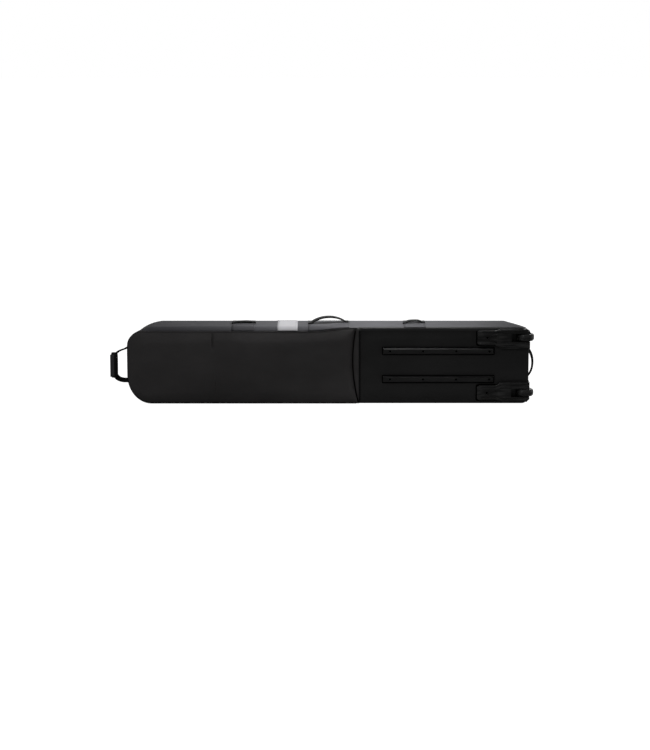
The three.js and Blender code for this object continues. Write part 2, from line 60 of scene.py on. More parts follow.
# ---- sizes, from the frame where it has them
panel_low, panel_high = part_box("underside_panel")
tray_low, tray_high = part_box("underside_tray")
side_low, side_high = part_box("handle_side_wall")
lid_low, lid_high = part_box("lid_panel")
END_X = tray_high.x
WIDTH = panel_high.z
UNDER_Y = panel_low.y
LID_Y = side_high.y
DEPTH = LID_Y - UNDER_Y
SEAM_X = (panel_high.x + tray_low.x) / 2
SIDE_THICKNESS = 8 * MM

NOSE = {"length": 105 * MM, "rise": 140 * MM, "low_length": 0.93, "low_rise": 0.84, "front": 0.52,
        "front_depth": 45 * MM, "set_back": 7 * MM, "slope_start": -70 * MM, "slope": 56 * MM}
WHEEL_END = {"slope_start": -55 * MM, "lean": 80 * MM, "curl": -5 * MM, "corner": 28 * MM}
LID_SHAPE = {"length": 92 * MM, "rise": 120 * MM, "corner": 18 * MM, "gap": 0.5 * MM}
SOFT_EDGE = {"inset": 16 * MM, "depth": 26 * MM, "start": math.radians(30)}  # the plain half's rolled edge
FIRM_EDGE = {"inset": 1.5 * MM, "depth": 3 * MM, "start": 0.0}
EDGE_CHANGE = (-72 * MM, 113 * MM)  # where one becomes the other
BAND_Y = side_low.y  # the tray wraps the front edge back to here
BACK_RADIUS = 9 * MM
RING_STEP = 0.25 * MM  # the side band's outlines are worked out once for each step of depth
DRAWN_IN = 20 * MM  # the inset of the inner outline they are mixed with
PADDING = {"edge": 4.5 * MM, "middle": 6 * MM, "spread": 90 * MM}  # how far the plain panel stands out
GROOVE = {"depth": 5 * MM, "width": 2.6 * MM}  # along the plain panel's curved end
CREASE = {"x": -468 * MM, "low": 226 * MM, "high": 294 * MM, "width": 3.6 * MM, "depth": 8 * MM}
TRAY_SHAPE = {"puff": 2.6 * MM, "dip": 2.6 * MM, "bend_power": 3.2}
SHEET = 6 * MM  # the thickness of the panel and the tray
WELL_START = 747.4 * MM
WELL_MARGIN = 2.6 * MM  # between a wheel well's side and its axle's end
WELL_OPENING = 24 * MM  # half the opening in the tray's cloth, which the housing's plate hides


def ease(t):
    t = min(1.0, max(0.0, t))
    return t * t * (3 - 2 * t)


def mix(a, b, t):
    return a + (b - a) * t


def straight(start, end, count):
    """Evenly spaced points from one (x, y, z) to another."""
    return [Vector([mix(a, b, i / count) for a, b in zip(start, end)]) for i in range(count + 1)]


def uneven(x, y, z):
    """Smooth noise, mostly between -1 and 1."""
    return noise.noise(Vector((x, y, z)))


def axle(side):
    """The height of a wheel's middle, and half its axle's length."""
    low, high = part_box(f"{side}_wheel_axle")
    return (low.z + high.z) / 2, (high.z - low.z) / 2


# ---- materials
class Graph:
    """A material's nodes, with short ways to add to them."""

    def __init__(self, name):
        self.material = bpy.data.materials.new(name)
        self.material.use_nodes = True
        self.tree = self.material.node_tree
        self.surface = self.tree.nodes["Principled BSDF"]

    def put(self, socket, value):
        if isinstance(value, bpy.types.NodeSocket):
            self.tree.links.new(value, socket)
        else:
            socket.default_value = value

    def add(self, kind, **inputs):
        node = self.tree.nodes.new("ShaderNode" + kind)
        for key, value in inputs.items():
            self.put(node.inputs[key], value)
        return node

    def math(self, operation, *values):
        node = self.add("Math")
        node.operation = operation
        for socket, value in zip(node.inputs, values):
            self.put(socket, value)
        return node.outputs[0]

    def place(self, source="Object"):
        return self.add("TexCoord").outputs[source]

    def axes(self, source="Object"):
        return self.add("SeparateXYZ", Vector=self.place(source)).outputs

    def noise(self, scale, detail=4.0, stretch=(1, 1, 1), source="Object"):
        spread = self.add("Mapping", Vector=self.place(source), Scale=stretch)
        return self.add("TexNoise", Vector=spread.outputs[0], Scale=scale, Detail=detail).outputs[0]

    def rescale(self, value, start, end, first, last):
        """Turns a value's range from start to end into one from first to last."""
        node = self.add("MapRange", Value=value)
        for key, number in (("From Min", start), ("From Max", end), ("To Min", first), ("To Max", last)):
            node.inputs[key].default_value = number
        return node.outputs[0]

    def close(self):
        """1 near the camera and 0 beyond a few metres, where single threads can't be made out."""
        return self.rescale(self.add("CameraData").outputs["View Distance"], 1.5, 5.0, 1.0, 0.0)

    def wave(self, position, pitch):
        return self.math("SINE", self.math("MULTIPLY", position, 2 * math.pi / pitch))

    def ramp(self, factor, dark, light, low=0.3, high=0.7):
        node = self.add("ValToRGB", Fac=factor)
        first, last = node.color_ramp.elements
        first.position, last.position = low, high
        first.color, last.color = (*dark, 1), (*light, 1)
        return node.outputs[0]

    def blend(self, factor, a, b):
        node = self.add("Mix")
        node.data_type = "RGBA"
        self.put(node.inputs[0], factor)
        self.put(node.inputs[6], a)
        self.put(node.inputs[7], b)
        return node.outputs[2]

    def bumps(self, *layers):
        """Layers are (height, distance in metres, strength), coarse or fine."""
        normal = None
        for height, distance, strength in layers:
            node = self.add("Bump", Height=height, Distance=distance, Strength=strength)
            if normal is not None:
                self.put(node.inputs["Normal"], normal)
            normal = node.outputs[0]
        self.put(self.surface.inputs["Normal"], normal)

    def finish(self, **inputs):
        for key, value in inputs.items():
            self.put(self.surface.inputs[key.replace("_", " ")], value)
        return self.material


def grey(value, tint=(1, 1, 1)):
    return tuple(value * t for t in tint)


def woven(name, shade, pitch, roughness, sheen, crumple=0.35, tint=(1, 1, 1.06), dots=0.0, shine=0.2,
          painted_end_shade=0.0):
    """A plain weave with crossings, blotches and crumples at their own scales, and painted shade towards the
    wheel end.
    """
    g = Graph(name)
    x, y, z = g.axes()
    depth = g.math("ADD", y, z)
    weave = g.math("MULTIPLY", g.math("MULTIPLY", g.wave(x, pitch), g.wave(depth, pitch)), g.close())
    blotches = g.noise(5, 5, (0.6, 1, 1))
    colour = g.ramp(blotches, grey(shade * 0.76, tint), grey(shade * 1.22, tint))
    thread = g.math("MULTIPLY", g.math("ADD", weave, 1), 0.10)
    colour = g.blend(thread, colour, (*grey(shade * 1.9, tint), 1))
    if dots:
        dobby = g.math("MULTIPLY", g.wave(x, 9 * pitch), g.wave(depth, 9 * pitch))
        spots = g.math("MULTIPLY", g.math("GREATER_THAN", dobby, 0.72), dots)
        colour = g.blend(spots, colour, (*grey(shade * 2.4, tint), 1))
    # painted shade: darkens the cloth towards the wheel end
    if painted_end_shade:
        shade_toward_wheels = g.rescale(x, 0.56, 0.80, 0.0, painted_end_shade)
        colour = g.blend(shade_toward_wheels, colour, (*grey(shade * 0.3, tint), 1))
    g.bumps(
        (g.noise(14, 4, (0.7, 1, 1)), 3 * MM, crumple * 0.5),
        (g.noise(60, 6), 0.8 * MM, crumple),
        (weave, 0.12 * MM, 0.6),
    )
    worn = g.math("MULTIPLY_ADD", g.noise(9, 3), 0.14, roughness - 0.07)
    return g.finish(Base_Color=colour, Roughness=worn, Specular_IOR_Level=shine, Sheen_Weight=sheen,
                    Sheen_Roughness=0.45)


def coated(name, shade):
    """Tarpaulin: a coating over a coarse scrim, which shows through as a faint grid."""
    g = Graph(name)
    x, y, z = g.axes()
    scrim = g.math("MAXIMUM", g.wave(x, 2.6 * MM), g.wave(g.math("ADD", y, z), 2.6 * MM))
    scrim = g.math("MULTIPLY", scrim, g.close())
    tint = (1, 0.99, 1)
    colour = g.ramp(g.noise(4, 6, (0.5, 1, 1)), grey(shade * 0.7, tint), grey(shade * 1.35, tint))
    scuffs = g.noise(40, 8, (0.25, 1, 1))
    colour = g.blend(g.ramp(scuffs, (0, 0, 0), (0.3, 0.3, 0.3), 0.6, 0.8), colour, (0.03, 0.03, 0.031, 1))
    g.bumps((g.noise(9, 4, (0.6, 1, 1)), 4 * MM, 0.14), (scrim, 0.15 * MM, 0.35), (scuffs, 0.2 * MM, 0.3))
    rough = g.math("MULTIPLY_ADD", scuffs, 0.3, 0.38)
    return g.finish(Base_Color=colour, Roughness=rough, Specular_IOR_Level=0.2)


def webbing(name, shade):
    """Ribbed webbing. Its coordinates run along and across the strap, in metres."""
    g = Graph(name)
    along, across, _ = g.axes("UV")
    chevron = g.math("ABSOLUTE", g.wave(across, 9 * MM))
    ribs = g.math("MULTIPLY", g.wave(g.math("MULTIPLY_ADD", chevron, 1.1 * MM, along), 2.2 * MM), g.close())
    cords = g.math("MULTIPLY", g.wave(across, 2.1 * MM), g.close())
    colour = g.ramp(g.noise(30, 5), grey(shade * 0.75), grey(shade * 1.4))
    colour = g.blend(g.math("MULTIPLY", g.math("ADD", ribs, 1), 0.12), colour, (*grey(shade * 3), 1))
    g.bumps((cords, 0.3 * MM, 0.5), (ribs, 0.35 * MM, 0.8), (g.noise(400, 3), 0.1 * MM, 0.4))
    return g.finish(Base_Color=colour, Roughness=0.7, Specular_IOR_Level=0.1, Sheen_Weight=0.03)


def moulded(name, shade, roughness, wear=0.06, shine=0.35):
    """Textured plastic or urethane, scuffed paler where its edges stand out."""
    g = Graph(name)
    edges = g.ramp(g.add("NewGeometry").outputs["Pointiness"], (0, 0, 0), (1, 1, 1), 0.51, 0.58)
    scratches = g.noise(90, 8, (0.15, 1, 1))
    worn = g.math("MULTIPLY", edges, g.ramp(scratches, (0, 0, 0), (1, 1, 1), 0.42, 0.6))
    colour = g.ramp(g.noise(12, 5), grey(shade * 0.8), grey(shade * 1.25))
    colour = g.blend(g.math("MULTIPLY", worn, 0.6), colour, (*grey(shade + wear), 1))
    g.bumps((g.noise(900, 2), 0.12 * MM, 0.5), (scratches, 0.15 * MM, 0.25))
    rough = g.math("MULTIPLY_ADD", scratches, 0.22, roughness - 0.08)
    return g.finish(Base_Color=colour, Roughness=rough, Specular_IOR_Level=shine)


def metal(name, shade, roughness):
    """Brushed metal with fine turning marks and a little dirt."""
    g = Graph(name)
    brush = g.noise(300, 4, (1, 0.05, 0.05))
    colour = g.ramp(g.noise(40, 5), grey(shade * 0.6), grey(shade))
    g.bumps((brush, 0.05 * MM, 0.5))
    rough = g.math("MULTIPLY_ADD", brush, 0.25, roughness - 0.1)
    return g.finish(Base_Color=colour, Roughness=rough, Metallic=1.0)


SHELL = woven("shell_nylon", 0.053, 0.9 * MM, 0.62, 0.02, tint=(1.03, 0.99, 1.0), shine=0.07)
# the side cloth carries painted shade that darkens it towards the wheel end
SIDES = woven("side_polyester", 0.040, 1.3 * MM, 0.75, 0.05, dots=0.3, tint=(1, 0.99, 1.09), shine=0.1,
              painted_end_shade=0.75)
LID_CLOTH = woven("lid_polyester", 0.045, 1.3 * MM, 0.7, 0.04, shine=0.1)
LINING = woven("lining_ripstop", 0.06, 1.6 * MM, 0.75, 0.1, crumple=0.5, dots=0.3)
PATCH = woven("patch_polyester", 0.038, 1.8 * MM, 0.75, 0.05, crumple=0.2, tint=(1, 0.99, 1.09), shine=0.1)
LABEL = woven("label_grey", 0.243, 1.1 * MM, 0.65, 0.05, crumple=0.12, tint=(1.0, 0.99, 1.03))
TAPE = woven("zipper_tape", 0.014, 0.8 * MM, 0.75, 0.03, crumple=0.1, shine=0.08)
BINDING = woven("edge_binding", 0.007, 0.8 * MM, 0.6, 0.03, crumple=0.15, shine=0.1)
ROLL = woven("rolled_edge", 0.034, 1.2 * MM, 0.6, 0.05, crumple=0.15, tint=(1, 0.98, 1), shine=0.12)
FLAP = woven("grip_flap", 0.052, 0.8 * MM, 0.6, 0.05, crumple=0.15, shine=0.15)
TRAY = coated("tray_tarpaulin", 0.021)
WEBBING = webbing("black_webbing", 0.004)
THREAD = woven("stitching", 0.035, 0.4 * MM, 0.6, 0.05, crumple=0.1)
DARK_THREAD = woven("dark_stitching", 0.008, 0.4 * MM, 0.6, 0.05, crumple=0.1, shine=0.1)
PALE_THREAD = woven("pale_stitching", 0.14, 0.4 * MM, 0.6, 0.05, crumple=0.1)
PLASTIC = moulded("housing_plastic", 0.006, 0.36)
RAIL = moulded("rail_plastic", 0.011, 0.5, wear=0.02)
BOARD = moulded("board_plastic", 0.03, 0.55, wear=0.008)
URETHANE = moulded("wheel_urethane", 0.02, 0.3, wear=0.05)
HUB = moulded("hub_plastic", 0.12, 0.4, shine=0.5)
GRIP = moulded("grip_rubber", 0.011, 0.6, wear=0.01, shine=0.1)
# near-black for painted shadow: the dark lines round the rails, round the housings' tongues and along the
# plain panel's curved seam
SHADOW_BLACK = moulded("painted_shadow_black", 0.0012, 0.8, wear=0.002, shine=0.03)
STEEL = metal("zinc_steel", 0.45, 0.35)
BLACK_STEEL = metal("black_steel", 0.04, 0.4)
SCREW_STEEL = metal("screw_steel", 0.006, 0.5)


# ---- mesh tools
def piece(name, points, faces, *materials, smooth=True):
    mesh = bpy.data.meshes.new(name)
    mesh.from_pydata([tuple(p) for p in points], [], faces)
    obj = bpy.data.objects.new(name, mesh)
    bpy.context.scene.collection.objects.link(obj)
    for material in materials:
        mesh.materials.append(material)
    for polygon in mesh.polygons:
        polygon.use_smooth = smooth
    mesh.update()
    return obj


def bake(obj):
    """Keeps the result of an object's modifiers as its mesh."""
    graph = bpy.context.evaluated_depsgraph_get()
    result = bpy.data.meshes.new_from_object(obj.evaluated_get(graph))
    obj.modifiers.clear()
    old, obj.data = obj.data, result
    bpy.data.meshes.remove(old)


def thicken(obj, thickness, lined=False):
    """Turns a sheet into a closed solid that grows inwards from it."""
    solid = obj.modifiers.new("Solidify", "SOLIDIFY")
    solid.thickness = thickness
    solid.offset = -1
    solid.material_offset = solid.material_offset_rim = int(lined)
    bake(obj)


def turn_out(obj):
    """Makes a closed mesh's faces point outwards."""
    shape = bmesh.new()
    shape.from_mesh(obj.data)
    bmesh.ops.recalc_face_normals(shape, faces=shape.faces)
    shape.to_mesh(obj.data)
    shape.free()


def grid(name, rows, *materials, closed=False):
    """A sheet from equally long rows of points. Closed rows run round to their own start."""
    count = len(rows[0])
    faces = []
    for r in range(len(rows) - 1):
        for i in range(count if closed else count - 1):
            a, b = r * count + i, r * count + (i + 1) % count
            faces.append((a, a + count, b + count, b))
    return piece(name, [p for row in rows for p in row], faces, *materials)


def dress(obj, body, slot, *stands_for):
    """Sets what a finished piece moves with and what it replaces. slot is not used."""
    if body:
        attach(obj, body)
    if stands_for:
        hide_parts(*stands_for)
    return obj


def rounded_profile(width, thickness, count=18, power=0.45):
    """A flat, round-edged cross-section as (across, up) points."""
    points = []
    for i in range(count):
        angle = 2 * math.pi * i / count
        c, s = math.cos(angle), math.sin(angle)
        across = math.copysign(abs(c) ** power, c) * width / 2
        points.append((across, math.copysign(abs(s) ** power, s) * thickness / 2))
    return points


def round_profile(radius, count=10):
    return rounded_profile(2 * radius, 2 * radius, count, 1.0)


def smooth_path(points, steps=8):
    """A Catmull-Rom curve through the points."""
    ends = [points[0] * 2 - points[1], *points, points[-1] * 2 - points[-2]]
    path = []
    for i in range(1, len(ends) - 2):
        a, b, c, d = ends[i - 1 : i + 3]
        for k in range(steps):
            t = k / steps
            path.append(0.5 * (2 * b + (c - a) * t + (2 * a - 5 * b + 4 * c - d) * t**2
                               + (3 * b - a - 3 * c + d) * t**3))
    return [*path, points[-1]]


def tapered(across, up, power):
    """Thins a bar by these shares towards both ends; the higher the power, the nearer to them it starts."""
    def size(t):
        shrink = (2 * t - 1) ** power
        return 1 - across * shrink, 1 - up * shrink
    return size


def sweep(name, path, face, profile, material, scale=None):
    """A closed bar along a path. face is where its flat side looks, or gives that for a point's number."""
    count = len(profile)
    points, lengths, travelled = [], [], 0.0
    for i, centre in enumerate(path):
        tangent = (path[min(i + 1, len(path) - 1)] - path[max(i - 1, 0)]).normalized()
        up = face(i) if callable(face) else face
        up = (up - tangent * up.dot(tangent)).normalized()
        across = tangent.cross(up)
        size = scale(i / (len(path) - 1)) if scale else (1.0, 1.0)
        points += [centre + across * (a * size[0]) + up * (u * size[1]) for a, u in profile]
        travelled += (centre - path[i - 1]).length if i else 0.0
        lengths.append(travelled)
    faces = []
    for i in range(len(path) - 1):
        for k in range(count):
            a, b = i * count + k, i * count + (k + 1) % count
            faces.append((a, b, b + count, a + count))
    faces += [tuple(range(count)), tuple(range(len(points) - 1, len(points) - 1 - count, -1))]
    obj = piece(name, points, faces, material)
    layer = obj.data.uv_layers.new(name="strap")
    for loop in obj.data.loops:
        ring, k = divmod(loop.vertex_index, count)
        layer.data[loop.index].uv = (lengths[ring], profile[k][0])
    turn_out(obj)
    return obj


def stitches(name, runs, body, material=THREAD, pitch=4.6 * MM, length=3.3 * MM, radius=0.42 * MM):
    """Rows of thread. A run is a list of (point, outward direction) pairs."""
    points, faces = [], []
    for run in runs:
        travelled = 0.0
        for (start, out), (end, _) in zip(run, run[1:]):
            step = end - start
            if step.length < 1e-6:
                continue
            along = step.normalized()
            across = along.cross(out).normalized()
            while travelled < step.length:
                centre = start + along * travelled
                base = len(points)
                half = along * (length / 2)
                points += [centre - half, centre + half, centre + across * radius, centre - across * radius,
                           centre + out * radius, centre - out * radius]
                for a, b in ((2, 4), (4, 3), (3, 5), (5, 2)):
                    faces += [(base, base + b, base + a), (base + 1, base + a, base + b)]
                travelled += pitch
            travelled -= step.length
    dress(piece(name, points, faces, material), body, "webbing")


def drape(obj, pinned, push, growth, limit, steps=18):
    """Lets a sheet held at its pinned points billow along push, no point moving further than limit."""
    scene = bpy.context.scene
    group = obj.vertex_groups.new(name="pinned")
    group.add(pinned, 1.0, "REPLACE")
    cloth = obj.modifiers.new("Cloth", "CLOTH")
    cloth.settings.quality = 5
    cloth.settings.mass = 0.2
    cloth.settings.tension_stiffness = 25
    cloth.settings.compression_stiffness = 25
    cloth.settings.bending_stiffness = 0.35
    cloth.settings.shrink_min = -growth
    cloth.settings.vertex_group_mass = "pinned"
    cloth.point_cache.frame_start, cloth.point_cache.frame_end = 1, steps
    gravity = scene.gravity.copy()
    scene.gravity = push
    for step in range(1, steps + 1):
        scene.frame_set(step)
    shape = obj.evaluated_get(bpy.context.evaluated_depsgraph_get()).data
    settled = [v.co.copy() for v in shape.vertices]
    obj.modifiers.clear()
    obj.vertex_groups.clear()
    scene.gravity = gravity
    scene.frame_set(1)
    for vertex, place in zip(obj.data.vertices, settled):
        move = place - vertex.co
        if move.length > limit:
            move *= limit / move.length
        vertex.co += move
    obj.data.update()


# ---- the bag's outline
RUN, ARC, FLAT, BEND, END_RUN = 150, 20, 14, 6, 36  # stations on the long runs, arcs, nose, corners and end


def outline(x0, x1, z0, z1, length, rise, radius, high=1.0):
    """(x, z) stations from the wheel end along the handle side, round the nose and back.

    high is the share of the nose's rise that its upper arc takes up.
    """
    points = []

    def run(ax, az, bx, bz, steps):
        points.extend((mix(ax, bx, i / steps), mix(az, bz, i / steps)) for i in range(steps))

    def arc(x, z, rx, rz, start, steps):
        for i in range(steps):
            angle = math.pi / 2 * (start + i / steps)
            points.append((x + rx * math.cos(angle), z + rz * math.sin(angle)))

    run(x1 - radius, z1, x0 + length, z1, RUN)
    low_length, low_rise = NOSE["low_length"] * length, NOSE["low_rise"] * rise
    arc(x0 + length, z1 - high * rise, length, high * rise, 1, ARC)
    run(x0, z1 - high * rise, x0, z0 + low_rise, FLAT)
    arc(x0 + low_length, z0 + low_rise, low_length, low_rise, 2, ARC)
    run(x0 + low_length, z0, x1 - radius, z0, RUN)
    arc(x1 - radius, z0 + radius, radius, radius, -1, BEND)
    run(x1, z0 + radius, x1, z1 - radius, END_RUN)
    arc(x1 - radius, z1 - radius, radius, radius, 0, BEND)
    return points


def nose_tip(y):
    t = max(0.0, (y - NOSE["slope_start"]) / (LID_Y - NOSE["slope_start"]))
    return -END_X + NOSE["set_back"] + NOSE["slope"] * (1 - math.sqrt(max(0.0, 1 - t * t)))


def wheel_end(y):
    t = max(0.0, (y - WHEEL_END["slope_start"]) / (LID_Y - WHEEL_END["slope_start"]))
    return END_X - WHEEL_END["lean"] * t - WHEEL_END["curl"] * t * t


def section(y, inset):
    high = mix(NOSE["front"], 1.0, min(1.0, (y - UNDER_Y) / NOSE["front_depth"]))
    return outline(nose_tip(y) + inset, wheel_end(y) - inset, inset, WIDTH - inset,
                   NOSE["length"] - inset / 2, NOSE["rise"] - inset, WHEEL_END["corner"] - inset / 2, high)


def lid_outline(margin):
    return outline(lid_low.x - margin, lid_high.x + margin, lid_low.z - margin, lid_high.z + margin,
                   LID_SHAPE["length"] + margin, LID_SHAPE["rise"] + margin, LID_SHAPE["corner"] + margin)


def softness(x, z):
    """1 where the front edge is broadly rolled, on the handle side of the plain half, falling to 0."""
    if z < WIDTH / 2:
        return 0.0
    along = 1 - ease((x - EDGE_CHANGE[0]) / (EDGE_CHANGE[1] - EDGE_CHANGE[0]))
    return along * ease((x + END_X - 36 * MM) / (60 * MM))


def roll(x, z, t):
    """Depth behind the underside, and inset, at a share t of the way round the front edge."""
    if x > SEAM_X:
        return BAND_Y - UNDER_Y - 1 * MM + 6 * MM * t, 0.0
    s = softness(x, z)
    start = mix(FIRM_EDGE["start"], SOFT_EDGE["start"], s)
    depth, inset = (mix(FIRM_EDGE[key], SOFT_EDGE[key], s) for key in ("depth", "inset"))
    angle = mix(start, math.pi / 2, t)
    return (depth * (math.cos(start) - math.cos(angle)) / math.cos(start),
            inset * (1 - math.sin(angle)) / (1 - math.sin(start)))


def swell(x, y, up):
    """How far the side fabric stands out. up is the z part of its outward direction; the base stays flat."""
    bow = math.sin(math.pi * min(1.0, max(0.0, (y - UNDER_Y) / DEPTH)))
    ripple = 0.9 * uneven(x * 7, y * 12, up * 3) + 0.5 * uneven(x * 21, y * 30, up * 5)
    return (0.7 + ripple) * bow * MM * (1 + up) / 2


base_ring = section(UNDER_Y, 0.0)
STATIONS = len(base_ring)


def outward(ring, k):
    (ax, az), (bx, bz) = ring[k - 1], ring[(k + 1) % STATIONS]
    return Vector((bz - az, 0, ax - bx)).normalized()


# ---- side band: both long sides and both ends
def side_band():
    rings = {}

    def at(k, y, inset):
        key = round(y / RING_STEP)
        if key not in rings:
            rings[key] = section(key * RING_STEP, 0.0), section(key * RING_STEP, DRAWN_IN)
        full, drawn = rings[key][0][k], rings[key][1][k]
        t = inset / DRAWN_IN
        return Vector((mix(full[0], drawn[0], t), y, mix(full[1], drawn[1], t)))

    sides = [mix(UNDER_Y, LID_Y, t) for t in (i / 18 for i in range(3, 17))]
    directions = [outward(base_ring, k) for k in range(STATIONS)]
    opening = lid_outline(LID_SHAPE["gap"])
    rows = []
    for step in range(7):  # from the seam on the front, round the rolled edge
        row = []
        for k in range(STATIONS):
            depth, inset = roll(*base_ring[k], step / 6)
            row.append(at(k, UNDER_Y + depth, inset))
        rows.append(row)
    for y in sides:
        row = []
        for k in range(STATIONS):
            place = at(k, y, 0.0)
            row.append(place + directions[k] * swell(place.x, y, directions[k].z))
        rows.append(row)
    for step in range(5):  # round the back edge
        angle = math.pi / 2 * step / 4
        y = LID_Y - BACK_RADIUS * (1 - math.sin(angle))
        rows.append([at(k, y, BACK_RADIUS * (1 - math.cos(angle))) for k in range(STATIONS)])
    last = rows[-1]
    for step in range(1, 5):  # the border round the lid
        t = step / 4
        rows.append([last[k].lerp(Vector((opening[k][0], LID_Y, opening[k][1])), t) for k in range(STATIONS)])
    band = grid("side_band", rows, SIDES, LINING, closed=True)
    thicken(band, SIDE_THICKNESS, lined=True)
    return band, [(p.x, p.z) for p in rows[0]]


# ---- wheel wells
def cut_wells(obj):
    """Cuts a box-shaped well for each wheel out of a closed piece."""
    for side in SETS:
        low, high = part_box(f"{side}_wheel_housing")
        middle, half = axle(side)
        half -= WELL_MARGIN
        x = (WELL_START, high.x + 0.02)
        y = (low.y - 0.02, high.y + 0.6 * MM)
        z = (middle - half, middle + half)
        corners = [(a, b, c) for a in x for b in y for c in z]
        sides = [(0, 1, 3, 2), (4, 6, 7, 5), (0, 4, 5, 1), (2, 3, 7, 6), (0, 2, 6, 4), (1, 5, 7, 3)]
        cutter = piece("cutter", corners, sides)
        turn_out(cutter)
        cut = obj.modifiers.new("Boolean", "BOOLEAN")
        cut.operation, cut.solver, cut.object = "DIFFERENCE", "EXACT", cutter
        bake(obj)
        bpy.data.objects.remove(cutter)


# ---- underside
def half_span(x, x0, x1, length, rise, radius, z0, z1):
    """The outline's lowest and highest z at a given x."""
    drop = 0.0
    if x < x0 + length:
        t = (x0 + length - x) / length
        drop = rise * (1 - math.sqrt(max(0.0, 1 - t * t)))
    if radius and x > x1 - radius:
        t = (x - x1 + radius) / radius
        drop = radius * (1 - math.sqrt(max(0.0, 1 - t * t)))
    return z0 + drop, z1 - drop


def seam_line(z):
    """The plain panel's edge, which bulges back from the seam between its ends."""
    t = z / WIDTH
    return SEAM_X - (1 + 85 * t - 74 * t * t) * MM


def eased_columns(x0, x1, length, count, far=0.0):
    """Places along X, closer together round the nose and, if far is given, round the other corner."""
    near = [x0 + length * (1 - math.cos(math.pi / 2 * i / 14)) for i in range(14)]
    middle = [mix(x0 + length, x1 - far, i / count) for i in range(count + 1)]
    end = [x1 - far + far * math.sin(math.pi / 2 * i / 6) for i in range(1, 7)] if far else []
    return near + middle + end


def height_at(curve, x):
    """The z of a curve of (x, z) points, sorted by x, at a given x."""
    for (ax, az), (bx, bz) in zip(curve, curve[1:]):
        if bx >= x:
            return mix(az, bz, (x - ax) / max(bx - ax, 1e-9))
    return curve[-1][1]


def underside_panel(seam):
    """A padded panel that fills the seam's outline, with a groove where it meets the tray's bound edge."""
    plain = [p for p in seam[: 2 * RUN + 2 * ARC + FLAT] if p[0] < SEAM_X + 12 * MM]
    tip = min(range(len(plain)), key=lambda i: plain[i][0])
    above, below = plain[: tip + 1][::-1], plain[tip:]
    x0 = plain[tip][0] + 0.5 * MM
    last = min(seam_line(WIDTH * i / 20) for i in range(21)) - 40 * MM  # where the curved end takes over
    places = eased_columns(x0, last, NOSE["length"], 104)
    places += [CREASE["x"] + (i + 0.37) * 2 * MM for i in range(-8, 8)]
    columns = [(x, 0.0) for x in sorted(places)]
    columns += [(last, (i + 1) / 14) for i in range(14)] + [(last, 1 + (i + 1) / 8) for i in range(8)]
    rows_in = 40
    grids, pinned = [], []
    for i, (base, share) in enumerate(columns):
        column = []
        for j in range(rows_in + 1):
            t = mix(j / rows_in, 0.5 - 0.5 * math.cos(math.pi * j / rows_in), 0.5)
            line = seam_line(mix(height_at(below, base), height_at(above, base), t))
            x = mix(base, line, share) if share <= 1 else mix(line, SEAM_X + 1 * MM, share - 1)
            low, high = height_at(below, x), height_at(above, x)
            z = mix(low, high, t)
            side = min(z - low, high - z)
            if share <= 1:
                near = min(side, x - x0 + 4 * MM, line - x)
                depth = PADDING["edge"] * (1 - math.exp(-near / mix(2.5 * MM, 11 * MM, ease(2.5 * t))))
                broad = 1 - (1 - min(1.0, near / PADDING["spread"])) ** 2
                depth += PADDING["middle"] * math.sin(math.pi * min(1.0, max(0.0, t))) * broad
            else:
                near = min(side, x - line, SEAM_X + 4 * MM - x)
                depth = 2.5 * MM * (1 - math.exp(-near / (4 * MM)))
            depth -= GROOVE["depth"] * math.exp(-(((x - line) / GROOVE["width"]) ** 2))
            ripple = uneven(x * 5, z * 9, 0) * 2.4 * MM
            fold = uneven(x * 26 + z * 12, z * 6, 3) * math.exp(-near / (45 * MM))
            loose = min(1.0, near / (25 * MM))
            column.append(Vector((x, UNDER_Y + 0.8 * MM - depth - (ripple + fold * 2.2 * MM) * loose, z)))
            if i == 0 or share >= 1 or j in (0, rows_in):
                pinned.append(i * (rows_in + 1) + j)
        grids.append(column)
    panel = grid("underside_padded_panel", grids, SHELL, LINING)
    drape(panel, pinned, (0, -9.8, 0), 0.0035, 5 * MM)
    crease(panel)
    thicken(panel, SHEET, lined=True)
    return panel


def crease(obj):
    """A short vertical dent, as where a board's binding edge pulls the padding."""
    middle, half = (CREASE["low"] + CREASE["high"]) / 2, (CREASE["high"] - CREASE["low"]) / 2
    for vertex in obj.data.vertices:
        across = (vertex.co.x - CREASE["x"] - 2 * MM * math.sin(vertex.co.z * 40)) / CREASE["width"]
        along = (vertex.co.z - middle) / half
        if abs(along) < 1 and abs(across) < 3:
            vertex.co.y += CREASE["depth"] * math.exp(-across * across) * (1 - along * along)
    obj.data.update()


